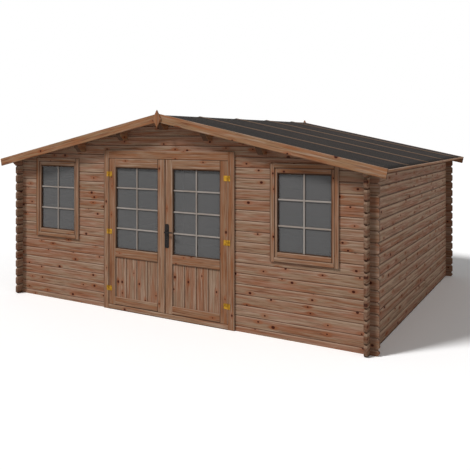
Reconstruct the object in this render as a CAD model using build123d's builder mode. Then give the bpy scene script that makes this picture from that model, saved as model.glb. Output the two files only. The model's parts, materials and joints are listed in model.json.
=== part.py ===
# Wooden garden house: interlocking log walls, a low felted roof and a glazed double door.
# Millimetres, +Z up. The front faces -Y. The origin is at ground level in the middle of the
# plan, halfway between the outer faces of opposite walls.
import os
from math import cos, radians, sin, tan

from build123d import *

os.makedirs("parts", exist_ok=True)

# Plan and wall logs
house_width = 5000  # over the outer faces of the side walls
house_depth = 4000  # over the outer faces of the front and back walls
log_height = 118
log_thickness = 34
side_logs = 15  # full logs in a side wall, below the eave log
log_end = 95  # log ends run this far past the outer face of the wall they cross
log_end_chamfer = 22  # both ways, on the corners of each log end
groove = 7  # depth of the V between two logs
joint_gap = 0.3  # clearance wherever two pieces of the house meet

# Roof
roof_pitch = 12
eave_log_height = 109  # at the outer face of the side wall
eave_overhang = 220  # beyond the outer face of the side wall, at the underside of the boards
front_overhang = 145
back_overhang = 200
roof_board = 20
felt = 4
felt_first = 895  # what shows of the first strip, which runs down the slope at the front
felt_strip = 970  # what shows of each strip after it
felt_lap = 60
eave_strip = 18
fascia_height = 100
fascia_thickness = 20
front_fascia_rise = 14  # the fascia stands this far above the felt
back_fascia_rise = 2
finial_width = 116
finial_height = 208
finial_rise = 42  # tip of the finial above the point of the fascias
finial_thickness = 18
eave_log_cut = 51  # 45 degree cut under the ends of the eave log
purlin_width = 70
purlin_height = 150
purlin_cut = 65  # 45 degree cut under the ends of a purlin
inner_purlin = 1880  # middle of the purlin from the outer face of the side wall
outer_purlin = 1180

# Floor
bearer_width = 60
bearer_height = 40
bearer_spacing = 800
floor_board = 19

# Windows
window_offset = 1790  # middle of the window from the middle of the house
window_width = 780
window_height = 1062
window_middle = 1357
window_trim = 50  # width of the boards that show round the window
window_trim_proud = 20
window_lining = 20
sash_stile = 30
sash_rail = 54
sash_thickness = 36
sash_proud = 12
glass = 4
glass_setback = 30  # from the outer face of the sash or door leaf

# Door
leaf_width = 869
leaf_thickness = 40
leaf_proud = 20  # outer face of the leaf beyond the outer face of the wall
leaf_top = 1902
meeting_gap = 8
leaf_gap = 5  # round the other edges of a leaf
stile = 105
top_rail = 112
middle_rail = 110
bottom_rail = 99
panel_top = 660  # underside of the middle rail above the ground
panel_thickness = 18
panel_setback = 11
panel_boards = 4  # upright boards in the lower panel of each leaf
panel_groove = 5
jamb_width = 77
frame_proud = 22
frame_top_logs = 17  # the head of the door frame ends level with this many log heights
door_web = 40
door_stop = 20
stop_thickness = 30
threshold_height = 59
threshold_step = 15
threshold_chamfer = 8

# Hinges
hinge_heights = (264, 980, 1706)
hinge_height = 62
hinge_radius = 5
hinge_pin_radius = 3
hinge_pin_gap = 0.05
hinge_plate = 3
hinge_leaf_width = 46
hinge_jamb_width = 22
hinge_setback = 3.5  # plates start this far from the barrel
knuckle_gap = 0.5

# Lock and lever
lock_plate_width = 56
lock_plate_height = 286
lock_plate_thickness = 4
lock_plate_radius = 20
lock_plate_drop = 49  # middle of the lock plate below the lever
lock_plate_edge = 2  # plate from the meeting edge of the leaf
lever_height = 1040
keyhole_drop = 88
keyhole_radius = 5
spindle_radius = 5
spindle_hole_radius = 7
rose_radius = 11
rose_thickness = 4
lever_neck_radius = 8
lever_reach = 46  # outer face of the lever from the lock plate
lever_length = 104
lever_thickness = 10
lever_root_radius = 10
lever_tip_radius = 6

# Worked out from the sizes above
wall_length_x = house_width + 2 * log_end
wall_length_y = house_depth + 2 * log_end
side_wall_height = side_logs * log_height
slope = tan(radians(roof_pitch))
across_slope = cos(radians(roof_pitch))
down_slope = sin(radians(roof_pitch))
ridge_under = side_wall_height + eave_log_height + slope * house_width / 2
roof_run = (house_width / 2 + eave_overhang) / across_slope
roof_top = roof_board + felt
roof_front = -house_depth / 2 - front_overhang
roof_back = house_depth / 2 + back_overhang
front_face = -house_depth / 2
front_inner = front_face + log_thickness
crossing_x = (house_width - log_thickness) / 2
crossing_y = (house_depth - log_thickness) / 2
lap_height = log_height / 2
frame_top = frame_top_logs * log_height
opening_half = meeting_gap / 2 + leaf_width + leaf_gap
doorway_half = opening_half + door_web + joint_gap
doorway_top = frame_top - log_height / 2
leaf_bottom = threshold_height + leaf_gap
leaf_face = front_face - leaf_proud
frame_face = front_face - frame_proud
stop_front = leaf_face + leaf_thickness + leaf_gap
stop_back = stop_front + stop_thickness
purlin_places = {
    "left_outer_purlin": outer_purlin - house_width / 2,
    "left_inner_purlin": inner_purlin - house_width / 2,
    "ridge_purlin": 0,
    "right_inner_purlin": house_width / 2 - inner_purlin,
    "right_outer_purlin": house_width / 2 - outer_purlin,
}


# Underside of the roof boards at a distance from the middle of the house
def roof_under(x):
    return ridge_under - slope * abs(x)


# A point of the roof in the plane of the gable: run down the slope, rise square to it
def roof_point(side, run, rise):
    x = run * across_slope + rise * down_slope
    z = ridge_under - run * down_slope + rise * across_slope
    return (side * x, z)


# Outline of one layer of the roof from the ridge to a run down the slope
def roof_layer(side, low, high, run):
    ridge_x = side * joint_gap / 2
    ridge_drop = slope * joint_gap / 2
    return [
        (ridge_x, ridge_under + low / across_slope - ridge_drop),
        roof_point(side, run, low),
        roof_point(side, run, high),
        (ridge_x, ridge_under + high / across_slope - ridge_drop),
    ]


# Side view of a log, with the corners of its ends chamfered
def log_outline(length, low, high):
    end = length / 2
    cut = log_end_chamfer
    right = [(end - cut, low), (end, low + cut), (end, high - cut), (end - cut, high)]
    return right + [(-along, height) for along, height in right[::-1]]


# Outline of a stack of boards or logs with a V at each seam, on both faces
def grooved_outline(low, high, near, far, seams, depth):
    near_side = [(near, low)]
    far_side = [(far, low)]
    for seam in seams:
        near_side += [(near, seam - depth), (near + depth, seam), (near, seam + depth)]
        far_side += [(far, seam - depth), (far - depth, seam), (far, seam + depth)]
    near_side.append((near, high))
    far_side.append((far, high))
    return near_side + far_side[::-1]


# Front and back walls start with half a log, so that they lock into the side walls.
# The wall is the part of the full gable inside the region, a low and a high corner.
def gable_wall(outer_face, facing, region, holes):
    courses = [(0, log_height / 2)]
    while courses[-1][1] < ridge_under:
        courses.append((courses[-1][1], courses[-1][1] + log_height))
    seams = [top for bottom, top in courses[:-1]]
    half = wall_length_x / 2
    top = courses[-1][1]
    (low_x, low_z), (high_x, high_z) = region
    inner_face = outer_face - facing * log_thickness
    with BuildPart() as wall:
        with BuildSketch(Plane.XZ.offset(-max(outer_face, inner_face))):
            for bottom, course_top in courses:
                with BuildLine():
                    Polyline(*log_outline(wall_length_x, bottom, course_top), close=True)
                make_face()
            under = [(x, roof_under(x) - joint_gap) for x in (-half, 0, half)]
            with BuildLine():
                Polyline((-half, 0), *under, (half, 0), close=True)
            make_face(mode=Mode.INTERSECT)
            with Locations(((low_x + high_x) / 2, (low_z + high_z) / 2)):
                Rectangle(high_x - low_x, high_z - low_z, mode=Mode.INTERSECT)
            for hole_x, hole_z, hole_width, hole_height in holes:
                with Locations((hole_x, hole_z)):
                    Rectangle(hole_width, hole_height, mode=Mode.SUBTRACT)
            for x in purlin_places.values():
                notch_low = roof_under(x) - purlin_height - joint_gap
                with Locations((x, (notch_low + top) / 2)):
                    Rectangle(purlin_width + 2 * joint_gap, top - notch_low, mode=Mode.SUBTRACT)
        extrude(amount=log_thickness)
        with BuildSketch(Plane.YZ.offset(-half)):
            with BuildLine():
                near, far = sorted((outer_face, inner_face))
                Polyline(*grooved_outline(0, top, near, far, seams, groove), close=True)
            make_face()
        extrude(amount=wall_length_x, mode=Mode.INTERSECT)
        lock_y = (outer_face + inner_face) / 2
        lock = log_thickness + 2 * joint_gap
        locks = [(log + 0.5) * log_height for log in range(side_logs)]
        with Locations(*[(side * crossing_x, lock_y, z) for side in (-1, 1) for z in locks]):
            Box(lock, lock, lap_height + joint_gap, mode=Mode.SUBTRACT)
        eave_lock = side_wall_height + (lap_height - joint_gap) / 2
        with Locations(*[(side * crossing_x, lock_y, (eave_lock + top) / 2) for side in (-1, 1)]):
            Box(lock, lock, top - eave_lock, mode=Mode.SUBTRACT)
    return wall.part


# Side walls start with a full log
def side_wall(side):
    seams = [log * log_height for log in range(1, side_logs)]
    near = side * house_width / 2 - max(side, 0) * log_thickness
    with BuildPart() as wall:
        with BuildSketch(Plane.YZ.offset(near)):
            for log in range(side_logs):
                with BuildLine():
                    Polyline(*log_outline(wall_length_y, log * log_height, (log + 1) * log_height), close=True)
                make_face()
        extrude(amount=log_thickness)
        with BuildSketch(Plane.XZ.offset(-wall_length_y / 2)):
            with BuildLine():
                outline = grooved_outline(0, side_wall_height, near, near + log_thickness, seams, groove)
                Polyline(*outline, close=True)
            make_face()
        extrude(amount=wall_length_y, mode=Mode.INTERSECT)
        lock = log_thickness + 2 * joint_gap
        locks = [log * log_height for log in range(side_logs + 1)]
        with Locations(*[(side * crossing_x, end * crossing_y, z) for end in (-1, 1) for z in locks]):
            Box(lock, lock, lap_height + joint_gap, mode=Mode.SUBTRACT)
    return wall.part


# The top log of a side wall runs out under both overhangs, and its top follows the roof
def eave_log(side):
    low = side_wall_height + joint_gap
    high = side_wall_height + eave_log_height + log_height
    near = side * house_width / 2 - max(side, 0) * log_thickness
    far = near + log_thickness
    front = roof_front + joint_gap
    back = roof_back - joint_gap
    with BuildPart() as log:
        with BuildSketch(Plane.YZ.offset(near)):
            with BuildLine():
                Polyline(
                    (front + eave_log_cut, low),
                    (front, low + eave_log_cut),
                    (front, high),
                    (back, high),
                    (back, low + eave_log_cut),
                    (back - eave_log_cut, low),
                    close=True,
                )
            make_face()
        extrude(amount=log_thickness)
        with BuildSketch(Plane.XZ.offset(-back)):
            with BuildLine():
                Polyline(
                    (near + groove, low),
                    (near, low + groove),
                    (near, roof_under(near) - joint_gap),
                    (far, roof_under(far) - joint_gap),
                    (far, low + groove),
                    (far - groove, low),
                    close=True,
                )
            make_face()
        extrude(amount=back - front, mode=Mode.INTERSECT)
        lock = log_thickness + 2 * joint_gap
        with Locations(*[(side * crossing_x, end * crossing_y, side_wall_height) for end in (-1, 1)]):
            Box(lock, lock, lap_height + joint_gap, mode=Mode.SUBTRACT)
    return log.part


# A purlin carries the roof boards and passes through both gables
def purlin(x):
    front = roof_front + joint_gap
    back = roof_back - joint_gap
    low = roof_under(x) - purlin_height
    left = x - purlin_width / 2
    right = x + purlin_width / 2
    peak = [(0, roof_under(0) - joint_gap)] if left < 0 < right else []
    with BuildPart() as beam:
        with BuildSketch(Plane.XZ.offset(-back)):
            with BuildLine():
                Polyline(
                    (left, low),
                    (left, roof_under(left) - joint_gap),
                    *peak,
                    (right, roof_under(right) - joint_gap),
                    (right, low),
                    close=True,
                )
            make_face()
        extrude(amount=back - front)
        for end, inwards in ((front, 1), (back, -1)):
            with BuildSketch(Plane.YZ.offset(left)):
                with BuildLine():
                    Polyline((end, low), (end + inwards * purlin_cut, low), (end, low + purlin_cut), close=True)
                make_face()
            extrude(amount=purlin_width, mode=Mode.SUBTRACT)
    return beam.part


# A flat piece of the roof: an outline in the plane of the gable, run from front to back
def roof_slab(outline, front, back):
    with BuildPart() as slab:
        with BuildSketch(Plane.XZ.offset(-back)):
            with BuildLine():
                Polyline(*outline, close=True)
            make_face()
        extrude(amount=back - front)
    return slab.part


# Felt strips run down the slope, each edge lapping over the next strip
def roof_felt(side):
    run = roof_run - eave_strip - joint_gap
    single = roof_layer(side, roof_board + joint_gap, roof_top, run)
    double = roof_layer(side, roof_board + joint_gap, roof_top + felt, run)
    with BuildPart() as sheet:
        with BuildSketch(Plane.XZ.offset(-roof_back)):
            with BuildLine():
                Polyline(*single, close=True)
            make_face()
        extrude(amount=roof_back - roof_front)
        lap_end = roof_front + felt_first + felt_lap
        while lap_end < roof_back:
            with BuildSketch(Plane.XZ.offset(-lap_end)):
                with BuildLine():
                    Polyline(*double, close=True)
                make_face()
            extrude(amount=felt_lap)
            lap_end += felt_strip
    return sheet.part


# Kite shaped board over the point of a gable
def finial(front, fascia_rise):
    tip = ridge_under + roof_top / across_slope + fascia_rise + finial_rise
    with BuildPart() as board:
        with BuildSketch(Plane.XZ.offset(-front - finial_thickness)):
            with BuildLine():
                Polyline(
                    (0, tip),
                    (finial_width / 2, tip - finial_height / 2),
                    (0, tip - finial_height),
                    (-finial_width / 2, tip - finial_height / 2),
                    close=True,
                )
            make_face()
        extrude(amount=finial_thickness)
    return board.part


# Four members round an opening: stiles run full height, rails fit between them
def member_ring(middle_x, middle_z, width, height, stile_width, rail_width, front, depth):
    with BuildPart() as ring:
        stile_x = (width - stile_width) / 2
        with Locations(*[(middle_x + end * stile_x, front + depth / 2, middle_z) for end in (-1, 1)]):
            Box(stile_width, depth, height)
        rail_z = (height - rail_width) / 2
        with Locations(*[(middle_x, front + depth / 2, middle_z + end * rail_z) for end in (-1, 1)]):
            Box(width - 2 * stile_width - 2 * joint_gap, depth, rail_width)
    return ring.part


# Boards outside the wall and a lining through it
def window_frame(middle_x):
    lining_width = window_width - 2 * window_trim + 2 * window_lining
    lining_height = window_height - 2 * window_trim + 2 * window_lining
    with BuildPart() as frame:
        add(member_ring(middle_x, window_middle, window_width, window_height, window_trim, window_trim,
                        front_face - window_trim_proud, window_trim_proud))
        add(member_ring(middle_x, window_middle, lining_width, lining_height, window_lining, window_lining,
                        front_face, log_thickness))
    return frame.part


# Posts and head embrace the wall: a board outside, a web through the doorway with the door
# stop on it, and a board inside
def door_frame():
    web_top = doorway_top - joint_gap
    web_depth = stop_back - frame_face
    web_y = (stop_back + frame_face) / 2
    outside_y = front_face - frame_proud / 2
    inside_depth = stop_back - front_inner - joint_gap
    inside_y = stop_back - inside_depth / 2
    stop_y = (stop_front + stop_back) / 2
    head_low = leaf_top + leaf_gap
    head_half = opening_half - joint_gap
    stop_top = head_low - joint_gap
    with BuildPart() as frame:
        for side in (-1, 1):
            with Locations((side * (opening_half + jamb_width / 2), outside_y, frame_top / 2)):
                Box(jamb_width, frame_proud, frame_top)
            with Locations((side * (opening_half + jamb_width / 2), inside_y, frame_top / 2)):
                Box(jamb_width, inside_depth, frame_top)
            with Locations((side * (opening_half + door_web / 2), web_y, web_top / 2)):
                Box(door_web, web_depth, web_top)
            with Locations((side * (opening_half - door_stop / 2), stop_y, stop_top / 2)):
                Box(door_stop, stop_thickness, stop_top)
        with Locations((0, outside_y, (head_low + frame_top) / 2)):
            Box(2 * head_half, frame_proud, frame_top - head_low)
        with Locations((0, inside_y, (head_low + frame_top) / 2)):
            Box(2 * head_half, inside_depth, frame_top - head_low)
        with Locations((0, web_y, (head_low + web_top) / 2)):
            Box(2 * head_half, web_depth, web_top - head_low)
        with Locations((0, stop_y, head_low - door_stop / 2)):
            Box(2 * (head_half - door_stop), stop_thickness, door_stop)
    return frame.part


# Threshold between the posts, stepped up behind the leaves
def threshold():
    half = opening_half - joint_gap
    step_half = half - door_stop
    with BuildPart() as sill:
        with BuildSketch(Plane.YZ.offset(-half)):
            with BuildLine():
                Polyline(
                    (frame_face, 0),
                    (frame_face, threshold_height - threshold_chamfer),
                    (frame_face + threshold_chamfer, threshold_height),
                    (stop_front - joint_gap, threshold_height),
                    (stop_front - joint_gap, 0),
                    close=True,
                )
            make_face()
        extrude(amount=2 * half)
        with Locations((0, (stop_front - joint_gap + stop_back) / 2, (threshold_height + threshold_step) / 2)):
            Box(2 * step_half, stop_back - stop_front + joint_gap, threshold_height + threshold_step)
    return sill.part


leaf_height = leaf_top - leaf_bottom
leaf_middle = (leaf_top + leaf_bottom) / 2
leaf_inner_edge = meeting_gap / 2
leaf_outer_edge = meeting_gap / 2 + leaf_width
leaf_back = leaf_face + leaf_thickness
light_half = leaf_width / 2 - stile
light_middle_x = leaf_inner_edge + leaf_width / 2
light_low = panel_top + middle_rail
light_high = leaf_top - top_rail
panel_low = leaf_bottom + bottom_rail
spindle_x = leaf_inner_edge + lock_plate_edge + lock_plate_width / 2
lock_plate_middle = lever_height - lock_plate_drop


# Stiles and rails of a door leaf. The leaf on the right has the hole for the spindle.
def leaf_frame(side):
    rail_width = 2 * light_half - 2 * joint_gap
    middle_y = leaf_face + leaf_thickness / 2
    with BuildPart() as frame:
        for edge in (leaf_inner_edge + stile / 2, leaf_outer_edge - stile / 2):
            with Locations((side * edge, middle_y, leaf_middle)):
                Box(stile, leaf_thickness, leaf_height)
        for low, high in ((leaf_bottom, panel_low), (panel_top, light_low), (light_high, leaf_top)):
            with Locations((side * light_middle_x, middle_y, (low + high) / 2)):
                Box(rail_width, leaf_thickness, high - low)
        if side > 0:
            with BuildSketch(Plane.XZ.offset(-leaf_back)):
                with Locations((spindle_x, lever_height)):
                    Circle(spindle_hole_radius)
            extrude(amount=leaf_thickness, mode=Mode.SUBTRACT)
    return frame.part


# Upright boards with a V at each seam
def leaf_panel(side):
    half = light_half - joint_gap
    near = leaf_face + panel_setback
    low = side * light_middle_x - half
    high = side * light_middle_x + half
    seams = [low + board * (high - low) / panel_boards for board in range(1, panel_boards)]
    outline = grooved_outline(low, high, near, near + panel_thickness, seams, panel_groove)
    with BuildPart() as panel:
        with BuildSketch(Plane.XY.offset(panel_low + joint_gap)):
            with BuildLine():
                Polyline(*[(x, y) for y, x in outline], close=True)
            make_face()
        extrude(amount=panel_top - panel_low - 2 * joint_gap)
    return panel.part


def pane(middle_x, low, high, half, outer_face):
    with BuildPart() as sheet:
        with Locations((middle_x, outer_face + glass_setback + glass / 2, (low + high) / 2)):
            Box(2 * half - 2 * joint_gap, glass, high - low - 2 * joint_gap)
    return sheet.part


# The barrel stands in front of the gap between leaf and post. The upper knuckle is on the leaf
# and turns on the pin of the lower one.
hinge_x = leaf_outer_edge + leaf_gap / 2
hinge_y = frame_face - hinge_radius
knuckle_height = (hinge_height - knuckle_gap) / 2


def leaf_hinges(side):
    plate_edge = hinge_x - hinge_radius - hinge_setback
    with BuildPart() as hinges:
        for height in hinge_heights:
            top = height + hinge_height / 2
            with BuildSketch(Plane.XY.offset(top - knuckle_height)):
                with Locations((side * hinge_x, hinge_y)):
                    Circle(hinge_radius)
                    Circle(hinge_pin_radius + hinge_pin_gap, mode=Mode.SUBTRACT)
            extrude(amount=knuckle_height)
            with Locations((side * (plate_edge - hinge_leaf_width / 2), leaf_face - hinge_plate / 2, height)):
                Box(hinge_leaf_width, hinge_plate, hinge_height)
            tongue = leaf_outer_edge - plate_edge
            with Locations((side * (plate_edge + tongue / 2), leaf_face - hinge_plate / 2,
                            top - knuckle_height / 2)):
                Box(tongue, hinge_plate, knuckle_height)
    return hinges.part


def post_hinges():
    plate_edge = hinge_x + hinge_radius + hinge_setback
    tongue = plate_edge - opening_half
    with BuildPart() as hinges:
        for side in (-1, 1):
            for height in hinge_heights:
                low = height - hinge_height / 2
                with BuildSketch(Plane.XY.offset(low)):
                    with Locations((side * hinge_x, hinge_y)):
                        Circle(hinge_radius)
                extrude(amount=knuckle_height)
                with BuildSketch(Plane.XY.offset(low + knuckle_height)):
                    with Locations((side * hinge_x, hinge_y)):
                        Circle(hinge_pin_radius)
                extrude(amount=knuckle_gap + knuckle_height)
                with Locations((side * (plate_edge + hinge_jamb_width / 2), frame_face - hinge_plate / 2,
                                height)):
                    Box(hinge_jamb_width, hinge_plate, hinge_height)
                with Locations((side * (opening_half + tongue / 2), frame_face - hinge_plate / 2,
                                low + knuckle_height / 2)):
                    Box(tongue, hinge_plate, knuckle_height)
    return hinges.part


# Long plates on both faces of the right leaf, with a hole for the spindle and a keyhole
def lock_plates():
    with BuildPart() as plates:
        for outer in (leaf_face - lock_plate_thickness, leaf_back):
            with BuildSketch(Plane.XZ.offset(-outer - lock_plate_thickness)):
                with Locations((spindle_x, lock_plate_middle)):
                    RectangleRounded(lock_plate_width, lock_plate_height, lock_plate_radius)
                with Locations((spindle_x, lever_height)):
                    Circle(spindle_hole_radius, mode=Mode.SUBTRACT)
                with Locations((spindle_x, lever_height - keyhole_drop)):
                    Circle(keyhole_radius, mode=Mode.SUBTRACT)
            extrude(amount=lock_plate_thickness)
    return plates.part


# Rose, neck and arm of a lever. The lever outside carries the spindle.
def lever(plate_face, outwards, spindle_length):
    def lever_plane(distance):
        return Plane.XZ.offset(-(plate_face + outwards * distance))

    with BuildPart() as handle:
        with BuildSketch(lever_plane(joint_gap)):
            with Locations((spindle_x, lever_height)):
                Circle(rose_radius)
        extrude(amount=-outwards * rose_thickness)
        with BuildSketch(lever_plane(joint_gap)):
            with Locations((spindle_x, lever_height)):
                Circle(lever_neck_radius)
        extrude(amount=-outwards * (lever_reach - joint_gap))
        with BuildSketch(lever_plane(lever_reach - lever_thickness)):
            with Locations((spindle_x, lever_height)):
                Circle(lever_root_radius)
            with Locations((spindle_x + lever_length - lever_tip_radius, lever_height)):
                Circle(lever_tip_radius)
            make_hull()
        extrude(amount=-outwards * lever_thickness)
        if spindle_length:
            with BuildSketch(lever_plane(joint_gap)):
                with Locations((spindle_x, lever_height)):
                    Circle(spindle_radius)
            extrude(amount=outwards * spindle_length)
    return handle.part


# Every piece of the house by its name
pieces = {}

window_hole_width = window_width - 2 * window_trim + 2 * window_lining + 2 * joint_gap
window_hole_height = window_height - 2 * window_trim + 2 * window_lining + 2 * joint_gap
wall_end = wall_length_x / 2
for name, side in (("front_wall_left", -1), ("front_wall_right", 1)):
    low_x, high_x = sorted((side * doorway_half, side * wall_end))
    hole = (side * window_offset, window_middle, window_hole_width, window_hole_height)
    pieces[name] = gable_wall(front_face, -1, ((low_x, 0), (high_x, doorway_top - joint_gap)), [hole])
pieces["front_gable"] = gable_wall(front_face, -1, ((-wall_end, doorway_top), (wall_end, ridge_under)), [])
pieces["back_wall"] = gable_wall(-front_face, 1, ((-wall_end, 0), (wall_end, ridge_under)), [])
for name, side in (("left", -1), ("right", 1)):
    pieces[f"{name}_wall"] = side_wall(side)
    pieces[f"{name}_eave_log"] = eave_log(side)
for name, x in purlin_places.items():
    pieces[name] = purlin(x)

floor_front = stop_back + joint_gap
floor_back = house_depth / 2 - log_thickness - joint_gap
floor_half = house_width / 2 - log_thickness - joint_gap
bearer_count = 2 * int((floor_half - bearer_width / 2) / bearer_spacing) + 1
with BuildPart() as bearers:
    with Locations((0, (floor_front + floor_back) / 2, bearer_height / 2)):
        with GridLocations(bearer_spacing, 1, bearer_count, 1):
            Box(bearer_width, floor_back - floor_front, bearer_height)
pieces["floor_bearers"] = bearers.part
with BuildPart() as floor:
    with Locations((0, (floor_front + floor_back) / 2, bearer_height + floor_board / 2)):
        Box(2 * floor_half, floor_back - floor_front, floor_board)
pieces["floor"] = floor.part

for name, side in (("left", -1), ("right", 1)):
    board_run = roof_run - eave_strip - joint_gap
    pieces[f"{name}_roof_boards"] = roof_slab(roof_layer(side, 0, roof_board, board_run), roof_front, roof_back)
    pieces[f"{name}_roof_felt"] = roof_felt(side)
    strip = [
        roof_point(side, roof_run - eave_strip, 0),
        roof_point(side, roof_run, 0),
        roof_point(side, roof_run, roof_top),
        roof_point(side, roof_run - eave_strip, roof_top),
    ]
    pieces[f"{name}_eave_strip"] = roof_slab(strip, roof_front, roof_back)
    for end, near, rise in (("front", roof_front - joint_gap - fascia_thickness, front_fascia_rise),
                            ("back", roof_back + joint_gap, back_fascia_rise)):
        fascia_top = roof_top + rise * across_slope
        fascia = roof_layer(side, fascia_top - fascia_height, fascia_top, roof_run)
        pieces[f"{end}_{name}_fascia"] = roof_slab(fascia, near, near + fascia_thickness)
front = roof_front - 2 * joint_gap - fascia_thickness - finial_thickness
pieces["front_finial"] = finial(front, front_fascia_rise)
back = roof_back + 2 * joint_gap + fascia_thickness
pieces["back_finial"] = finial(back, back_fascia_rise)

for name, side in (("left", -1), ("right", 1)):
    middle_x = side * window_offset
    sash_width = window_width - 2 * window_trim - 2 * joint_gap
    sash_height = window_height - 2 * window_trim - 2 * joint_gap
    sash_face = front_face - sash_proud
    pieces[f"{name}_window_frame"] = window_frame(middle_x)
    pieces[f"{name}_window_sash"] = member_ring(
        middle_x, window_middle, sash_width, sash_height, sash_stile, sash_rail, sash_face, sash_thickness
    )
    light = sash_height / 2 - sash_rail
    pieces[f"{name}_window_glass"] = pane(
        middle_x, window_middle - light, window_middle + light, sash_width / 2 - sash_stile, sash_face
    )

pieces["door_frame"] = door_frame()
pieces["door_threshold"] = threshold()
for name, side in (("left", -1), ("right", 1)):
    pieces[f"{name}_door_frame"] = leaf_frame(side)
    pieces[f"{name}_door_panel"] = leaf_panel(side)
    pieces[f"{name}_door_glass"] = pane(side * light_middle_x, light_low, light_high, light_half, leaf_face)
    pieces[f"{name}_door_hinges"] = leaf_hinges(side)
pieces["post_hinges"] = post_hinges()
pieces["lock_plates"] = lock_plates()
outer_plate = leaf_face - lock_plate_thickness
inner_plate = leaf_back + lock_plate_thickness
spindle_length = inner_plate - outer_plate + joint_gap
pieces["outside_lever"] = lever(outer_plate, -1, spindle_length)
pieces["inside_lever"] = lever(inner_plate, 1, 0)

for name, piece in pieces.items():
    piece.label = name
    export_step(piece, f"parts/{name}.step")
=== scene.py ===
# Wooden garden house: boards, felt, panes and fittings dressed over the CAD frame
import json
from math import cos, exp, floor, radians, sin, tan
from random import Random

import bmesh
import bpy
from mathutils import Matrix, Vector


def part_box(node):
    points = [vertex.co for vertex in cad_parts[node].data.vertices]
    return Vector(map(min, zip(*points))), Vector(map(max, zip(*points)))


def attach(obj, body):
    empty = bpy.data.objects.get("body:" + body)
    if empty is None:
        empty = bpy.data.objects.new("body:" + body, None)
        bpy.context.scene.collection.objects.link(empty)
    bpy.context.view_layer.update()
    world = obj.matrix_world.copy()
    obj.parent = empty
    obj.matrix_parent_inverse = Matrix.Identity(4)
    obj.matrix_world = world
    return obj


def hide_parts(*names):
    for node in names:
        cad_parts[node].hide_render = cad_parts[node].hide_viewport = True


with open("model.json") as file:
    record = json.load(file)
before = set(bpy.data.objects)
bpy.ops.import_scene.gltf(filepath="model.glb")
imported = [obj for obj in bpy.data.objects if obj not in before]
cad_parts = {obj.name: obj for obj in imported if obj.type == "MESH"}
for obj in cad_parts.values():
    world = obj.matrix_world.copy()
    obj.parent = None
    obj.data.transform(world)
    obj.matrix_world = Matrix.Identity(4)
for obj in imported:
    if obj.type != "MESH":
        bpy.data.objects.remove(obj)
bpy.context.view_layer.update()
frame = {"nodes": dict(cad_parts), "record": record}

bodyOfNode = {node: body for body, nodes in frame["record"]["behaviour"]["bodies"].items() for node in nodes}
print("frame loaded,", len(bodyOfNode), "nodes")

# The sizes that the pieces below share, in metres
house = {
    "logHeight": 0.118,
    "halfWidth": 2.5,  # from the middle to the outer face of a side wall
    "sideHeight": 1.879,  # where that face meets the roof boards
    "pitch": radians(12),
    "roofFront": -2.145,
    "roofBack": 2.2,
    "eaveOverhang": 0.22,
    "roofBoard": 0.02,
    "eaveStrip": 0.018,
    "eaveGap": 0.001,  # the boards and the felt end this far before the eave strip
}
# The underside of the roof boards at the ridge, and the way from there to the outside of the eave strip
ridgeUnder = house["sideHeight"] + house["halfWidth"] * tan(house["pitch"])
roofRun = (house["halfWidth"] + house["eaveOverhang"]) / cos(house["pitch"])
xAxis, yAxis, zAxis = Vector((1, 0, 0)), Vector((0, 1, 0)), Vector((0, 0, 1))


# One side of the roof: its direction down the slope, and the one straight out of it
def slopeOf(side):
    return (Vector((side * cos(house["pitch"]), 0, -sin(house["pitch"]))),
            Vector((side * sin(house["pitch"]), 0, cos(house["pitch"]))))


roofSides = [("left", *slopeOf(-1)), ("right", *slopeOf(1))]


# An sRGB hex colour as the linear values that a node takes
def linear(hexColour):
    parts = [int(hexColour[start:start + 2], 16) / 255 for start in (1, 3, 5)]
    return [part / 12.92 if part <= 0.04045 else ((part + 0.055) / 1.055) ** 2.4 for part in parts] + [1]


# Adds a node. A setting is a property of the node if it has one of that name, or else an input.
# "stops" are the places and colours of a ramp.
def addNode(tree, kind, settings=None, links=None):
    node = tree.nodes.new(kind)
    for key, value in (settings or {}).items():
        if key == "stops":
            stops = node.color_ramp.elements
            while len(stops) < len(value):
                stops.new(1)
            for stop, (place, colour) in zip(stops, value):
                stop.position = place
                stop.color = colour
        elif isinstance(key, str) and hasattr(node, key):
            setattr(node, key, value)
        else:
            node.inputs[key].default_value = value
    for key, output in (links or {}).items():
        tree.links.new(output, node.inputs[key])
    return node


def grey(level):
    return (level, level, level, 1)


def emptyMaterial(name):
    material = bpy.data.materials.new(name)
    material.use_nodes = True
    material.node_tree.nodes.clear()
    return material, material.node_tree


# Soft noise drawn out along the grain
def streaks(tree, grain, lengthMm, widthMm, detail):
    scale = (1000 / lengthMm, 1000 / widthMm, 1000 / widthMm)
    drawn = addNode(tree, "ShaderNodeMapping", {"Scale": scale}, {"Vector": grain})
    settings = {"Scale": 1, "Detail": detail, "Roughness": 0.6}
    return addNode(tree, "ShaderNodeTexNoise", settings, {"Vector": drawn.outputs[0]}).outputs[0]


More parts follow.
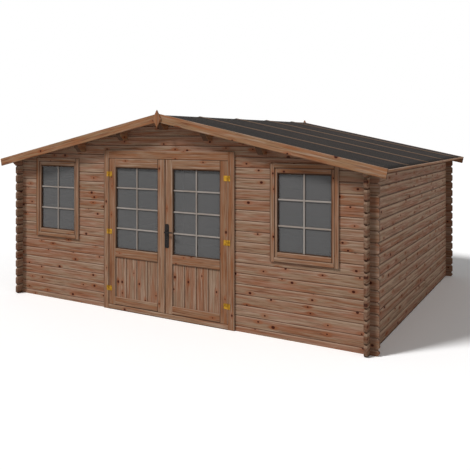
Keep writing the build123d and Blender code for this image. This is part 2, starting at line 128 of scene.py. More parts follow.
# Planed pine under a brown stain. The stain sinks in unevenly, so the eye sees long warm and pale
# streaks along the grain, thin dark lines of late wood that bend round the knots, and red-brown knots.
def stainedPine(name, look):
    material, tree = emptyMaterial(name)
    grain, board, rims = [addNode(tree, "ShaderNodeAttribute", {"attribute_name": kind}).outputs["Vector"]
                          for kind in ("grain", "board", "rims")]
    tint, sawnEnd, darkFrom = addNode(tree, "ShaderNodeSeparateXYZ", {}, {0: board}).outputs
    upperRim, lowerRim, fromMiddle = addNode(tree, "ShaderNodeSeparateXYZ", {}, {0: rims}).outputs

    # Knots stand about one to each cell of a long grid, and some cells have none
    spacing = (look["knotSpacingMm"] / 1000, look["knotRowMm"] / 1000, 1)
    cells = addNode(tree, "ShaderNodeVectorMath", {"operation": "DIVIDE", 1: spacing}, {0: grain}).outputs[0]
    knots = addNode(tree, "ShaderNodeTexVoronoi",
                    {"voronoi_dimensions": "2D", "Scale": 1, "Randomness": 0.85}, {"Vector": cells}).outputs
    away = addNode(tree, "ShaderNodeVectorMath", {"operation": "SUBTRACT"}, {0: cells, 1: knots["Position"]})
    flat = addNode(tree, "ShaderNodeVectorMath", {"operation": "MULTIPLY", 1: (spacing[0], spacing[1], 0)},
                   {0: away.outputs[0]}).outputs[0]
    # The knot and its longer halo are ovals, measured in halves of the knot's own length and width
    longer = 1000 / look["knotLengthMm"] * 2
    wider = 1000 / look["knotWidthMm"] * 2
    ovals = []
    for stretch in (1, look["haloStretch"]):
        scale = (longer / stretch, wider, 0)
        oval = addNode(tree, "ShaderNodeVectorMath", {"operation": "MULTIPLY", 1: scale}, {0: flat})
        distance = addNode(tree, "ShaderNodeVectorMath", {"operation": "LENGTH"}, {0: oval.outputs[0]})
        ovals.append(distance.outputs["Value"])
    # Chance makes some knots less than half as large as others
    chance = addNode(tree, "ShaderNodeSeparateColor", {}, {0: knots["Color"]}).outputs
    shrink = addNode(tree, "ShaderNodeMapRange", {"To Min": 0.9, "To Max": 2.2}, {"Value": chance[0]})
    fromKnot = addNode(tree, "ShaderNodeMath", {"operation": "MULTIPLY"},
                       {0: ovals[0], 1: shrink.outputs[0]}).outputs[0]
    hasKnot = addNode(tree, "ShaderNodeMath", {"operation": "LESS_THAN", 1: look["knotShare"]},
                      {0: chance[1]}).outputs[0]
    near = {}
    for kind, distance, outside, inside in (("knot", fromKnot, 1.25, 0.7), ("halo", ovals[1], 2.2, 0.6)):
        edge = addNode(tree, "ShaderNodeMapRange",
                       {"interpolation_type": "SMOOTHSTEP", "From Min": outside, "From Max": inside},
                       {"Value": distance}).outputs[0]
        near[kind] = addNode(tree, "ShaderNodeMath", {"operation": "MULTIPLY"},
                             {0: edge, 1: hasKnot}).outputs[0]

    # The grain is pushed aside near a knot
    push = addNode(tree, "ShaderNodeVectorMath", {"operation": "SCALE"}, {0: flat, "Scale": near["halo"]})
    bent = addNode(tree, "ShaderNodeVectorMath", {"operation": "SUBTRACT"},
                   {0: grain, 1: push.outputs[0]}).outputs[0]

    # Ashen and rosy stretches lie side by side, with rusty streaks where the stain sank in deeper
    patches = streaks(tree, bent, look["patchLengthMm"], look["patchWidthMm"], 2)
    stripes = streaks(tree, bent, look["stripeLengthMm"], look["stripeWidthMm"], 3)
    lateWood = streaks(tree, bent, look["lateLengthMm"], look["lateWidthMm"], 3)
    stops = [(0.4, linear(look["ashen"])), (0.6, linear(look["rosy"]))]
    wood = addNode(tree, "ShaderNodeValToRGB", {"stops": stops}, {0: patches}).outputs[0]
    level = addNode(tree, "ShaderNodeMath", {"operation": "ADD"}, {0: stripes, 1: tint}).outputs[0]
    along = addNode(tree, "ShaderNodeMath", {"operation": "ABSOLUTE"}, {0: fromMiddle})
    pastWall = addNode(tree, "ShaderNodeMath", {"operation": "SUBTRACT"}, {0: along.outputs[0], 1: darkFrom})
    # A painted highlight makes the upper edge pale and painted shade makes the lower edge dark, as light
    # falls on a seam, and the log ends past a corner are darker. Each row gives what a share depends on,
    # where the share starts, where it is full, and how much it is then.
    shares = {}
    for kind, source, start, full, most in (
        ("bleach", level, 0.47, 0.3, look["bleachShare"]),
        ("stain", level, 0.49, 0.66, look["stainShare"]),
        ("line", lateWood, 0.5, 0.68, 1),
        ("upper", upperRim, look["rimMm"] / 1000, look["arrisMm"] / 1000, look["rimHighlight"]),
        ("lower", lowerRim, look["shadeMm"] / 1000, look["arrisMm"] / 1000, look["rimShade"]),
        # The log ends past a corner are made darker.
        ("logEnd", pastWall.outputs[0], -0.01, 0.015, look["logEndDepth"]),
    ):
        shares[kind] = addNode(tree, "ShaderNodeMapRange",
                               {"interpolation_type": "SMOOTHSTEP", "From Min": start, "From Max": full,
                                "To Max": most}, {"Value": source}).outputs[0]
    # Late wood shows more where the stain is deep, and sawn ends drink more of it
    lineDepth = addNode(tree, "ShaderNodeMath", {"operation": "MULTIPLY_ADD", 1: 0.4, 2: 0.6},
                        {0: shares["stain"]})
    lines = addNode(tree, "ShaderNodeMath", {"operation": "MULTIPLY"},
                    {0: shares["line"], 1: lineDepth.outputs[0]}).outputs[0]
    halo = addNode(tree, "ShaderNodeMath", {"operation": "MULTIPLY", 1: look["haloDepth"]}, {0: near["halo"]})
    sawn = addNode(tree, "ShaderNodeMath", {"operation": "MULTIPLY", 1: look["endDepth"]}, {0: sawnEnd})
    for share, shade in ((shares["bleach"], "pale"), (shares["stain"], "rusty"), (lines, "late"),
                         (shares["upper"], "pale"), (halo.outputs[0], "halo"), (near["knot"], "knot"),
                         (shares["lower"], "darkTone"), (shares["logEnd"], "darkTone"), (sawn.outputs[0], "end")):
        wood = addNode(tree, "ShaderNodeMix", {"data_type": "RGBA", 7: linear(look[shade])},
                       {0: share, 6: wood}).outputs[2]

    height = addNode(tree, "ShaderNodeMath", {"operation": "ADD"}, {0: lateWood, 1: stripes}).outputs[0]
    relief = addNode(tree, "ShaderNodeBump", {"Strength": 0.5, "Distance": 0.0008}, {"Height": height})
    dull = addNode(tree, "ShaderNodeMapRange", {"To Min": 0.6, "To Max": 0.82}, {"Value": stripes})
    shader = addNode(tree, "ShaderNodeBsdfPrincipled", {"IOR": 1.5, "Specular IOR Level": look["sheen"]},
                     {"Base Color": wood, "Roughness": dull.outputs[0], "Normal": relief.outputs[0]})
    addNode(tree, "ShaderNodeOutputMaterial", {}, {0: shader.outputs[0]})
    return material


# Real late wood lines are 2 to 4 mm apart. They are drawn at 10 mm, as fine as the picture can show.
# The pale upper rim is a painted highlight and the dark lower rim is painted shade.
pineLook = {
    "ashen": "#8f755f", "rosy": "#946d58", "rusty": "#845236", "late": "#5c3626", "pale": "#a68d7a",
    "halo": "#8a4c2a", "knot": "#3c150b", "end": "#4a3428", "darkTone": "#452d20",
    "stainShare": 0.75, "bleachShare": 0.75, "endDepth": 0.4, "logEndDepth": 0.2,
    "haloDepth": 0.5, "haloStretch": 1.8, "sheen": 0.12,
    "arrisMm": 4, "rimMm": 24, "rimHighlight": 0.55, "shadeMm": 13, "rimShade": 0.65,
    "knotSpacingMm": 340, "knotRowMm": 118, "knotLengthMm": 42, "knotWidthMm": 32, "knotShare": 0.7,
    "patchLengthMm": 650, "patchWidthMm": 70, "stripeLengthMm": 420, "stripeWidthMm": 24,
    "lateLengthMm": 300, "lateWidthMm": 10,
}
logPine = stainedPine("stainedPineLogs", pineLook)
# The seams of the side walls stand out more, with a stronger painted highlight above and painted shade below
sideLogPine = stainedPine("stainedPineSideLogsPaintedSeams", {
    **pineLook, "pale": "#b2957d", "darkTone": "#38241a",
    "rimMm": 36, "rimHighlight": 0.9, "shadeMm": 26, "rimShade": 0.9})
# Boards, joinery and panels keep the painted highlight and painted shade along their edges, at their own
# strengths.
boardPine = stainedPine("stainedPineBoards", {
    **pineLook, "ashen": "#937153", "rosy": "#966b4e", "rusty": "#8f5633", "endDepth": 0.9,
    "knotRowMm": 105, "knotShare": 0.5, "rimMm": 9, "rimHighlight": 0.5, "shadeMm": 8, "rimShade": 0.3})
joineryPine = stainedPine("stainedPineJoinery", {
    **pineLook, "ashen": "#8b6c54", "rosy": "#8d664d", "rusty": "#82502f",
    "knotRowMm": 90, "knotShare": 0.4, "knotLengthMm": 34, "knotWidthMm": 26,
    "rimMm": 9, "rimHighlight": 0.5, "shadeMm": 14, "rimShade": 0.85, "stripeWidthMm": 18, "patchWidthMm": 45})
panelPine = stainedPine("stainedPinePanels", {
    **pineLook, "ashen": "#89705b", "rosy": "#8f6953", "knotSpacingMm": 280, "knotRowMm": 95,
    "knotShare": 0.55, "knotLengthMm": 36, "knotWidthMm": 30,
    "rimMm": 22, "rimHighlight": 0.8, "shadeMm": 17, "rimShade": 0.9})
# Glazing bars look a pale grey. The dark beads are painted shade: they draw a dark line round each pane.
thinLook = {**pineLook, "knotShare": 0, "rimShade": 0, "rimHighlight": 0}
barPine = stainedPine("stainedPineGlazingBars", {
    **thinLook, "ashen": "#9e968f", "rosy": "#9b918a", "rusty": "#93857a",
    "late": "#877a6f", "pale": "#a9a099"})
beadPine = stainedPine("darkStainedPineBeads", {
    **thinLook, "ashen": "#46301f", "rosy": "#432a1c", "rusty": "#3b2114",
    "late": "#2c170d", "pale": "#5a4231"})
# The floor looks lighter and yellower than the stained wood
# Its board edges keep a painted highlight and a narrow painted shade.
floorPine = stainedPine("planedPineFloor", {
    **pineLook, "ashen": "#b39468", "rosy": "#b08a62", "rusty": "#a07444", "late": "#8a6238",
    "pale": "#c6a985", "halo": "#a36d3d", "knot": "#5f3519", "end": "#8f6d47",
    "darkTone": "#7c5f3e", "shadeMm": 5})
print("pine materials made")


# Rolled bitumen felt with slate granules pressed in. It is a matt dark grey with a fine speckle, and
# the bare selvedge at a lap shows as a thin brown line. Real granules are about 1 mm, and they are
# drawn at 14 mm so that the speckle shows.
feltLook = {"slate": "#343231", "pale": "#544a44", "deep": "#222122", "selvedge": "#7d685a",
            "selvedgeMm": 30, "granuleMm": 14, "sheen": 0.04,
            "wornShare": 0.25, "wornLengthMm": 1400, "wornWidthMm": 180}


def slatedFelt(name, look):
    material, tree = emptyMaterial(name)
    grain = addNode(tree, "ShaderNodeAttribute", {"attribute_name": "grain"}).outputs["Vector"]
    granules = addNode(tree, "ShaderNodeTexNoise",
                       {"Scale": 1000 / look["granuleMm"], "Detail": 3, "Roughness": 0.8},
                       {"Vector": grain}).outputs[0]
    worn = streaks(tree, grain, look["wornLengthMm"], look["wornWidthMm"], 3)
    level = addNode(tree, "ShaderNodeMath", {"operation": "MULTIPLY_ADD", 1: look["wornShare"]},
                    {0: worn, 2: granules})
    stops = [(0.42, linear(look["deep"])), (0.62, linear(look["slate"])), (0.85, linear(look["pale"]))]
    slate = addNode(tree, "ShaderNodeValToRGB", {"stops": stops}, {0: level.outputs[0]})
    fromEdge = addNode(tree, "ShaderNodeSeparateXYZ", {}, {0: grain}).outputs[1]
    selvedge = addNode(tree, "ShaderNodeMapRange",  # it fades out over the last third or so of its width
                       {"From Min": look["selvedgeMm"] / 1000, "From Max": look["selvedgeMm"] / 1400},
                       {"Value": fromEdge})
    finished = addNode(tree, "ShaderNodeMix", {"data_type": "RGBA", 7: linear(look["selvedge"])},
                       {0: selvedge.outputs[0], 6: slate.outputs[0]})
    relief = addNode(tree, "ShaderNodeBump", {"Strength": 0.4, "Distance": 0.001}, {"Height": granules})
    shader = addNode(tree, "ShaderNodeBsdfPrincipled",
                     {"Roughness": 1, "IOR": 1.5, "Specular IOR Level": look["sheen"]},
                     {"Base Color": finished.outputs[2], "Normal": relief.outputs[0]})
    addNode(tree, "ShaderNodeOutputMaterial", {}, {0: shader.outputs[0]})
    return material


felt = slatedFelt("rolledSlateFelt", feltLook)


# Float glass is flat and clear. Here its calm grey tone is painted shade standing in for the dim room behind
# it, with only a share of the room showing through, and it has a soft sheen.
glassLook = {"tone": "#707070", "streak": "#747373", "streaksPerMetre": 1.5,
             "seeThrough": 0.45, "roughness": 0.06, "sheen": 0.3}


def floatGlass(name, look):
    material, tree = emptyMaterial(name)
    place = addNode(tree, "ShaderNodeTexCoord").outputs["Object"]
    clouds = addNode(tree, "ShaderNodeTexNoise", {"Scale": look["streaksPerMetre"], "Detail": 1},
                     {"Vector": place})
    stops = [(0.35, linear(look["tone"])), (0.65, linear(look["streak"]))]
    tone = addNode(tree, "ShaderNodeValToRGB", {"stops": stops}, {0: clouds.outputs[0]})
    shader = addNode(tree, "ShaderNodeBsdfPrincipled",
                     {"Roughness": look["roughness"], "IOR": 1.45, "Specular IOR Level": look["sheen"],
                      "Alpha": 1 - look["seeThrough"]},
                     {"Base Color": tone.outputs[0]})
    addNode(tree, "ShaderNodeOutputMaterial", {}, {0: shader.outputs[0]})
    return material


glass = floatGlass("floatGlass", glassLook)


# A metal finish with faint wear. Brass is rolled and lacquered, so it is bright yellow with soft
# darker clouds. Iron is cast and painted black, so it is dull with a fine orange peel.
def wornMetal(name, look):
    material, tree = emptyMaterial(name)
    place = addNode(tree, "ShaderNodeTexCoord").outputs["Object"]
    clouds = addNode(tree, "ShaderNodeTexNoise", {"Scale": 1000 / look["cloudMm"], "Detail": 3},
                     {"Vector": place}).outputs[0]
    stops = [(0.35, linear(look["dark"])), (0.65, linear(look["light"]))]
    colour = addNode(tree, "ShaderNodeValToRGB", {"stops": stops}, {0: clouds})
    relief = addNode(tree, "ShaderNodeBump", {"Strength": look["peel"], "Distance": 0.0003},
                     {"Height": clouds})
    shader = addNode(tree, "ShaderNodeBsdfPrincipled",
                     {"Metallic": look["metallic"], "Roughness": look["roughness"],
                      "Specular IOR Level": look["sheen"]},
                     {"Base Color": colour.outputs[0], "Normal": relief.outputs[0]})
    addNode(tree, "ShaderNodeOutputMaterial", {}, {0: shader.outputs[0]})
    return material


brass = wornMetal("lacqueredBrass", {
    "dark": "#9c7018", "light": "#d6a232", "cloudMm": 30, "peel": 0.1,
    "metallic": 0.7, "roughness": 0.35, "sheen": 0.5})
blackIron = wornMetal("blackPaintedCastIron", {
    "dark": "#121112", "light": "#2e2928", "cloudMm": 12, "peel": 0.5,
    "metallic": 0, "roughness": 0.6, "sheen": 0.15})
print("felt, glass and metal materials made")


# The most that a board's grain is shifted, in metres, and that its tint differs, and how squarely a
# face has to look along the board to be a sawn end
grainLook = {"shift": 60, "tint": 0.06, "sawnEnd": 0.65}


# Writes each face's place on its own board, which the wood and felt materials read. "grain" is the
# distance along, across and through the board, shifted so that no two boards match. "board" is its
# tint, whether the face is a sawn end, and how far from the middle the dark log ends start, or 1000
# for none. "rims" is the distance from its upper and lower edge, and along it from the middle.
# boardOfFace gives a board's key, its middle, the directions along and across it, and half its width.
def layGrain(mesh, seed, boardOfFace, darkFrom=1000, shifted=True):
    grain = mesh.attributes.new("grain", "FLOAT_VECTOR", "CORNER")
    rims = mesh.attributes.new("rims", "FLOAT_VECTOR", "CORNER")
    board = mesh.attributes.new("board", "FLOAT_VECTOR", "FACE")
    drawn = {}
    for face in mesh.polygons:
        key, middle, along, across, half = boardOfFace(face)
        if key not in drawn:
            chance = Random(f"{seed} {key}")
            shift = [chance.uniform(0, grainLook["shift"]) for axis in range(3)]
            drawn[key] = shift, chance.uniform(-grainLook["tint"], grainLook["tint"])
        shift, tint = drawn[key]
        through = along.cross(across)
        for corner in face.loop_indices:
            point = mesh.vertices[mesh.loops[corner].vertex_index].co - middle
            place = Vector((point.dot(along), point.dot(across), point.dot(through)))
            grain.data[corner].vector = place + Vector(shift) if shifted else place
            rims.data[corner].vector = (half - place.y, half + place.y, place.x)
        sawnEnd = 1 if abs(face.normal.dot(along)) > grainLook["sawnEnd"] else 0
        board.data[face.index].vector = (tint, sawnEnd, darkFrom)


def placePiece(name, mesh, material, node, replaces=True):
    piece = bpy.data.objects.new(name, mesh)
    bpy.context.scene.collection.objects.link(piece)
    mesh.materials.clear()
    mesh.materials.append(material)
    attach(piece, bodyOfNode[node])
    if replaces:
        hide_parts(node)
    return piece


# A node's own shape as a new mesh with its doubled points joined
def nodeMesh(node, cleaned):
    shape = bmesh.new()
    shape.from_mesh(frame["nodes"][node].data)
    bmesh.ops.remove_doubles(shape, verts=shape.verts, dist=0.00002)
    if cleaned:
        bmesh.ops.dissolve_limit(shape, angle_limit=radians(1), verts=shape.verts, edges=shape.edges)
    mesh = bpy.data.meshes.new(node + "Wood")
    shape.to_mesh(mesh)
    shape.free()
    return mesh


# The separate boards of a mesh, each with its middle, its longest and second longest axis of those
# given, and half its width
def boardsOf(mesh, along=None, across=None, axes=(xAxis, yAxis, zAxis)):
    shape = bmesh.new()
    shape.from_mesh(mesh)
    shape.faces.ensure_lookup_table()
    boardOf = {}
    boards = []
    for start in shape.faces:
        if start.index in boardOf:
            continue
        waiting, points = [start], []
        boardOf[start.index] = len(boards)
        while waiting:
            face = waiting.pop()
            points += [vertex.co.copy() for vertex in face.verts]
            for edge in face.edges:
                for other in edge.link_faces:
                    if other.index not in boardOf:
                        boardOf[other.index] = len(boards)
                        waiting.append(other)
        low = Vector([min(point[axis] for point in points) for axis in range(3)])
        high = Vector([max(point[axis] for point in points) for axis in range(3)])
        middle = (low + high) / 2
        order = sorted(axes, key=lambda axis: -axis.dot(high - low))
        sideways = across or order[1]
        halfWidth = max(abs((point - middle).dot(sideways)) for point in points)
        boards.append((len(boards), middle, along or order[0], sideways, halfWidth))
    shape.free()
    return lambda face: boards[boardOf[face.index]]


# Rounds the edges that turn by more than so many degrees
def easeEdges(piece, width, sharperThan, segments=1):
    rounding = piece.modifiers.new("easedEdges", "BEVEL")
    rounding.width = width
    rounding.segments = segments
    rounding.angle_limit = radians(sharperThan)


# Dresses a node whose solids are single boards, with the edges eased by so many metres
def dressBoards(node, material, edge, **directions):
    mesh = nodeMesh(node, cleaned=True)
    layGrain(mesh, node, boardsOf(mesh, **directions))
    piece = placePiece(node + "Boards", mesh, material, node)
    if edge:
        easeEdges(piece, edge, sharperThan=30, segments=2)


# Walls keep the shape of their node, and each course of logs gets its own piece of grain. "firstLog"
# is the share of a log that the wall starts with, and "darkFrom" is where the ends past a corner start.
acrossLook = {"along": xAxis, "firstLog": 0.5, "darkFrom": 2.5, "pine": logPine}
sideLook = {"along": yAxis, "firstLog": 1, "darkFrom": 2, "pine": sideLogPine}
wallLook = {
    "front_wall_left": acrossLook, "front_wall_right": acrossLook, "front_gable": acrossLook,
    "back_wall": acrossLook, "left_wall": sideLook, "right_wall": sideLook,
}
for node, look in wallLook.items():
    mesh = nodeMesh(node, cleaned=False)

    def courseOf(face, look=look):
        course = floor(face.center.z / house["logHeight"] + 1 - look["firstLog"])
        middle = Vector((0, 0, (course - 0.5 + look["firstLog"]) * house["logHeight"]))
        return course, middle, look["along"], zAxis, house["logHeight"] / 2

    layGrain(mesh, node, courseOf, look["darkFrom"])
    placePiece(node + "Logs", mesh, look["pine"], node)
for node in ("left_eave_log", "right_eave_log"):
    dressBoards(node, logPine, 0, along=yAxis, across=zAxis)
print("log walls dressed")

# Long boards and beams. The number is how far their edges are eased, in metres.
beamLook = {
    "left_outer_purlin": 0.003, "left_inner_purlin": 0.003, "ridge_purlin": 0.003,
    "right_inner_purlin": 0.003, "right_outer_purlin": 0.003, "floor_bearers": 0.002,
    "left_eave_strip": 0.002, "right_eave_strip": 0.002, "front_finial": 0.002, "back_finial": 0.002,
}
for node, edge in beamLook.items():
    dressBoards(node, boardPine, edge)
fasciaLook = {"easedEdge": 0.003}
for name, along, outwards in roofSides:
    for node in (f"front_{name}_fascia", f"back_{name}_fascia"):
        dressBoards(node, boardPine, fasciaLook["easedEdge"], along=along, across=outwards)
print("purlins and roof trim dressed")

joineryLook = {
    "nodes": ["left_window_frame", "right_window_frame", "left_window_sash", "right_window_sash",
              "door_frame", "left_door_frame", "right_door_frame"],
    "easedEdge": 0.003,
}
for node in joineryLook["nodes"]:
    dressBoards(node, joineryPine, joineryLook["easedEdge"], axes=(xAxis, zAxis))
dressBoards("door_threshold", joineryPine, joineryLook["easedEdge"], along=xAxis, across=zAxis)

# The lower panel of a leaf is one node with a V at each seam
panelLook = {"boards": 4}
for node in ("left_door_panel", "right_door_panel"):
    mesh = nodeMesh(node, cleaned=False)
    panelLow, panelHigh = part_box(node)
    boardWidth = (panelHigh.x - panelLow.x) / panelLook["boards"]

    def panelBoardOf(face, start=panelLow.x, width=boardWidth):
        board = floor((face.center.x - start) / width)
        return board, Vector((start + (board + 0.5) * width, 0, 0)), zAxis, xAxis, width / 2

    layGrain(mesh, node, panelBoardOf)
    placePiece(node + "Boards", mesh, panelPine, node)
print("joinery dressed")


# Builds boards from (middle, along, across, length, width, thickness), with the long edges taken off
def makeBoards(name, node, material, boards, chamfer, replaces=True):
    points, faces = [], []
    for middle, along, across, length, width, thickness in boards:
        through = along.cross(across)
        x, y = width / 2, thickness / 2
        ring = [(x - chamfer, y), (x, y - chamfer), (x, chamfer - y), (x - chamfer, -y),
                (chamfer - x, -y), (-x, chamfer - y), (-x, y - chamfer), (chamfer - x, y)]
        first = len(points)
        for end in (-length / 2, length / 2):
            points += [middle + along * end + across * x + through * y for x, y in ring]
        for corner in range(8):
            after = (corner + 1) % 8
            faces.append([first + corner, first + 8 + corner, first + 8 + after, first + after])
        faces += [[first + corner for corner in range(8)], [first + 15 - corner for corner in range(8)]]
    mesh = bpy.data.meshes.new(name)
    mesh.from_pydata(points, [], faces)
    shape = bmesh.new()
    shape.from_mesh(mesh)
    bmesh.ops.recalc_face_normals(shape, faces=shape.faces)
    shape.to_mesh(mesh)
    shape.free()

    def boardOf(face):
        index = face.index // 10  # each board has eight long faces and two ends
        middle, along, across, length, width, thickness = boards[index]
        return index, middle, along, across, width / 2

    layGrain(mesh, name, boardOf)
    placePiece(name, mesh, material, node, replaces)


# The middles and the width of the boards that fill a stretch
def shareOut(low, high, boardWidth):
    count = round((high - low) / boardWidth)
    width = (high - low) / count
    return [low + (index + 0.5) * width for index in range(count)], width


# Roof boards run down the slope, and floor boards run across the bearers
coverLook = {"roofBoardWidth": 0.0966, "floorBoardWidth": 0.1117, "seam": 0.0008, "ridgeGap": 0.005,
             "roofChamfer": 0.003, "floorChamfer": 0.0015}
for name, along, outwards in roofSides:
    length = roofRun - house["eaveStrip"] - house["eaveGap"] - coverLook["ridgeGap"]
    ridge = Vector((0, 0, ridgeUnder))
    middle = ridge + along * (length / 2 + coverLook["ridgeGap"]) + outwards * house["roofBoard"] / 2
    places, width = shareOut(house["roofFront"], house["roofBack"], coverLook["roofBoardWidth"])
    boards = [(middle + yAxis * place, along, yAxis, length, width - coverLook["seam"], house["roofBoard"])
              for place in places]
    makeBoards(f"{name}RoofBoards", f"{name}_roof_boards", boardPine, boards, coverLook["roofChamfer"])
low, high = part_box("floor")
places, width = shareOut(low.y, high.y, coverLook["floorBoardWidth"])
boards = [(Vector((0, place, (low.z + high.z) / 2)), xAxis, yAxis, high.x - low.x,
           width - coverLook["seam"], high.z - low.z) for place in places]
makeBoards("floorBoards", "floor", floorPine, boards, coverLook["floorChamfer"])
print("roof and floor boards laid")

# Felt strips run down the slope. The front of each lifts a little where it laps over the last, with its
# edge turned down. The rows are shares of a strip's width, close together where it bends.
stripLook = {
    "first": 0.895, "spacing": 0.97, "lap": 0.06, "shortest": 0.1, "thickness": 0.003, "clearance": 0.0004,
    "lift": 0.011, "fade": 0.07, "steps": 24,
    "ripple": 0.0012, "rippleTurn": 1.7, "rippleDrift": 3, "flatRipple": 0.3,
    "rows": (0, 0.003, 0.01, 0.03, 0.06, 0.1, 0.16, 0.3, 0.5, 0.7, 0.88, 1),
}
for name, along, outwards in roofSides:
    run = roofRun - house["eaveStrip"] - house["eaveGap"]
    base = Vector((0, 0, ridgeUnder + house["roofBoard"] / cos(house["pitch"])))
    points, faces, fronts = [], [], []
    steps = stripLook["steps"]
    start = house["roofFront"]
    while start < house["roofBack"] - stripLook["shortest"]:
        first = start == house["roofFront"]
        end = min(start + (stripLook["first"] if first else stripLook["spacing"]) + stripLook["lap"],
                  house["roofBack"])
        rows = [start + share * (end - start) for share in stripLook["rows"]]
        for y in rows:
            lift = 0 if first or y == start else stripLook["lift"] * exp(-(y - start) / stripLook["fade"])
            height = stripLook["ripple"] * (stripLook["flatRipple"] + lift / stripLook["lift"])
            wave = Random(f"{name} {y:.3f}")
            for step in range(steps + 1):
                drift = wave.uniform(0, stripLook["rippleDrift"])
                ripple = height * sin(step * stripLook["rippleTurn"] + drift)
                rise = stripLook["thickness"] + stripLook["clearance"] + lift + max(ripple, 0) * (step > 0)
                points.append(base + along * (run * step / steps) + outwards * rise + yAxis * y)
        firstPoint = len(fronts) * len(rows) * (steps + 1)
        for row in range(len(rows) - 1):
            for step in range(steps):
                corner = firstPoint + row * (steps + 1) + step
                around = [corner, corner + 1, corner + steps + 2, corner + steps + 1]
                faces.append(around if name == "right" else around[::-1])
        fronts.append(start - 1 if first else start)  # the foremost edge isn't a lap, so it isn't brown
        start = end - stripLook["lap"] if end < house["roofBack"] else end
    mesh = bpy.data.meshes.new(name + "Felt")
    mesh.from_pydata(points, [], faces)
    facesEach = (len(rows) - 1) * steps

    def stripOf(face, along=along, fronts=fronts, facesEach=facesEach):
        strip = face.index // facesEach
        return strip, Vector((0, fronts[strip], 0)), along, yAxis, stripLook["spacing"] / 2

    layGrain(mesh, name + "Felt", stripOf, shifted=False)
    sheet = placePiece(name + "Felt", mesh, felt, f"{name}_roof_felt")
    for face in mesh.polygons:
        face.use_smooth = True
    body = sheet.modifiers.new("sheetThickness", "SOLIDIFY")
    body.thickness = stripLook["thickness"]
    body.offset = -1
print("felt laid")

# Glazing bars stand on the outer and inner face of each pane, and beads hold the pane in its frame
paneLook = {
    "left_window_glass": {"rows": 3}, "right_window_glass": {"rows": 3},
    "left_door_glass": {"rows": 4}, "right_door_glass": {"rows": 4},
}
barLook = {"width": 0.017, "outerDepth": 0.012, "innerDepth": 0.0055, "chamfer": 0.002, "bead": 0.01}
for node, look in paneLook.items():
    low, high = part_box(node)
    middle = (low + high) / 2
    bars, beads = [], []
    barWidth, beadWidth = barLook["width"], barLook["bead"]
    for face, facing, depth in ((low.y, -1, barLook["outerDepth"]), (high.y, 1, barLook["innerDepth"])):
        y = face + facing * depth / 2
        bars.append((Vector((middle.x, y, middle.z)), zAxis, xAxis, high.z - low.z, barWidth, depth))
        for row in range(1, look["rows"]):
            z = low.z + (high.z - low.z) * row / look["rows"]
            for half in (-1, 1):
                length = (high.x - low.x - barWidth) / 2
                x = middle.x + half * (barWidth + length) / 2
                bars.append((Vector((x, y, z)), xAxis, zAxis, length, barWidth, depth))
        for end in (-1, 1):
            x = middle.x + end * (high.x - low.x - beadWidth) / 2
            z = middle.z + end * (high.z - low.z - beadWidth) / 2
            beads.append((Vector((x, y, middle.z)), zAxis, xAxis, high.z - low.z, beadWidth, depth))
            length = high.x - low.x - 2 * beadWidth
            beads.append((Vector((middle.x, y, z)), xAxis, zAxis, length, beadWidth, depth))
    makeBoards(node.replace("glass", "bars"), node, barPine, bars, barLook["chamfer"], replaces=False)
    makeBoards(node.replace("glass", "beads"), node, beadPine, beads, barLook["chamfer"], replaces=False)
    frame["nodes"][node].data.materials.clear()
    frame["nodes"][node].data.materials.append(glass)
print("panes and bars fitted")

# Fittings keep the shape of their nodes, with the sharp edges eased
fittingLook = {
    "left_door_hinges": {"metal": brass, "easedEdge": 0.0006},
    "right_door_hinges": {"metal": brass, "easedEdge": 0.0006},
    "post_hinges": {"metal": brass, "easedEdge": 0.0006},
    "lock_plates": {"metal": blackIron, "easedEdge": 0.001},
    "outside_lever": {"metal": blackIron, "easedEdge": 0.0012},
    "inside_lever": {"metal": blackIron, "easedEdge": 0.0012},
}
for node, look in fittingLook.items():
    fitting = frame["nodes"][node]
    fitting.data.materials.clear()
    fitting.data.materials.append(look["metal"])
    easeEdges(fitting, look["easedEdge"], sharperThan=40)
print("fittings finished")

# Floor, light and camera. The camera sees the floor as "floorSeen", so that it stays white where it is
# lit and keeps its shadow, while it throws light back as "floorTone".
stageLook = {
    "floorReach": 60, "floorTone": 0.65, "floorSeen": 1.14, "sky": 0.26,
    "sunAcross": -0.614, "sunAlong": -0.789, "sunHeight": 48, "sunStrength": 2.6, "sunSoftness": 12,
    "fillFrom": (0.9, -0.25, 0.12), "fillStrength": 0.58, "fillSoftness": 80,
    "cameraPlace": (4.305, -7.8851, 2.1726), "cameraTurn": 29.641,
    "lens": 46.24, "sensorWidth": 36, "shiftDown": -0.2084,
}
floorMesh = bpy.data.meshes.new("studioFloor")
reach = stageLook["floorReach"]
floorMesh.from_pydata([(-reach, -reach, 0), (reach, -reach, 0), (reach, reach, 0), (-reach, reach, 0)], [],
                      [(0, 1, 2, 3)])
studioFloor = bpy.data.objects.new("studioFloor", floorMesh)
bpy.context.scene.collection.objects.link(studioFloor)
floorMaterial, tree = emptyMaterial("whiteStudioFloor")
floorMesh.materials.append(floorMaterial)
rays = addNode(tree, "ShaderNodeLightPath").outputs
tone = addNode(tree, "ShaderNodeMix", {"data_type": "RGBA", 6: grey(stageLook["floorTone"]),
                                       7: grey(stageLook["floorSeen"])}, {0: rays["Is Camera Ray"]})
paint = addNode(tree, "ShaderNodeBsdfDiffuse", {}, {"Color": tone.outputs[2]})
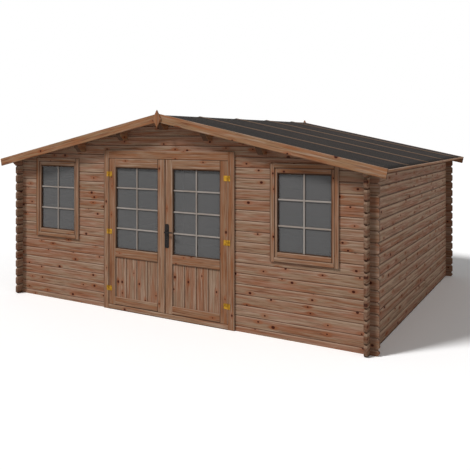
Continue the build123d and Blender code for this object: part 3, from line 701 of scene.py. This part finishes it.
addNode(tree, "ShaderNodeOutputMaterial", {}, {0: paint.outputs[0]})

world = bpy.data.worlds.new("studioSky")
bpy.context.scene.world = world
world.use_nodes = True
tree = world.node_tree
tree.nodes.clear()
rays = addNode(tree, "ShaderNodeLightPath").outputs
sky = addNode(tree, "ShaderNodeBackground", {"Color": grey(1), "Strength": stageLook["sky"]})
backdrop = addNode(tree, "ShaderNodeBackground", {"Color": grey(1), "Strength": 1})
# Glass and metal show the backdrop too
seen = rays["Is Camera Ray"]
for ray in ("Is Glossy Ray", "Is Transmission Ray"):
    seen = addNode(tree, "ShaderNodeMath", {"operation": "MAXIMUM"}, {0: seen, 1: rays[ray]}).outputs[0]
shown = addNode(tree, "ShaderNodeMixShader", {}, {0: seen, 1: sky.outputs[0], 2: backdrop.outputs[0]})
addNode(tree, "ShaderNodeOutputWorld", {}, {0: shown.outputs[0]})

rise = radians(stageLook["sunHeight"])
towardsSun = Vector((stageLook["sunAcross"] * cos(rise), stageLook["sunAlong"] * cos(rise), sin(rise)))
for name, towards, strength, softness in (
    ("softSun", towardsSun, stageLook["sunStrength"], stageLook["sunSoftness"]),
    ("sideFill", Vector(stageLook["fillFrom"]), stageLook["fillStrength"], stageLook["fillSoftness"]),
):
    lamp = bpy.data.lights.new(name, "SUN")
    lamp.energy = strength
    lamp.angle = radians(softness)
    lampObject = bpy.data.objects.new(name, lamp)
    lampObject.rotation_mode = "QUATERNION"
    lampObject.rotation_quaternion = towards.to_track_quat("Z", "Y")
    bpy.context.scene.collection.objects.link(lampObject)

cameraData = bpy.data.cameras.new("camera")
cameraData.lens = stageLook["lens"]
cameraData.sensor_width = stageLook["sensorWidth"]
cameraData.shift_y = stageLook["shiftDown"]
camera = bpy.data.objects.new("camera", cameraData)
camera.location = stageLook["cameraPlace"]
camera.rotation_euler = (radians(90), 0, radians(stageLook["cameraTurn"]))
bpy.context.scene.collection.objects.link(camera)
bpy.context.scene.camera = camera
bpy.context.scene.view_settings.view_transform = "Standard"
print("stage, light and camera set")
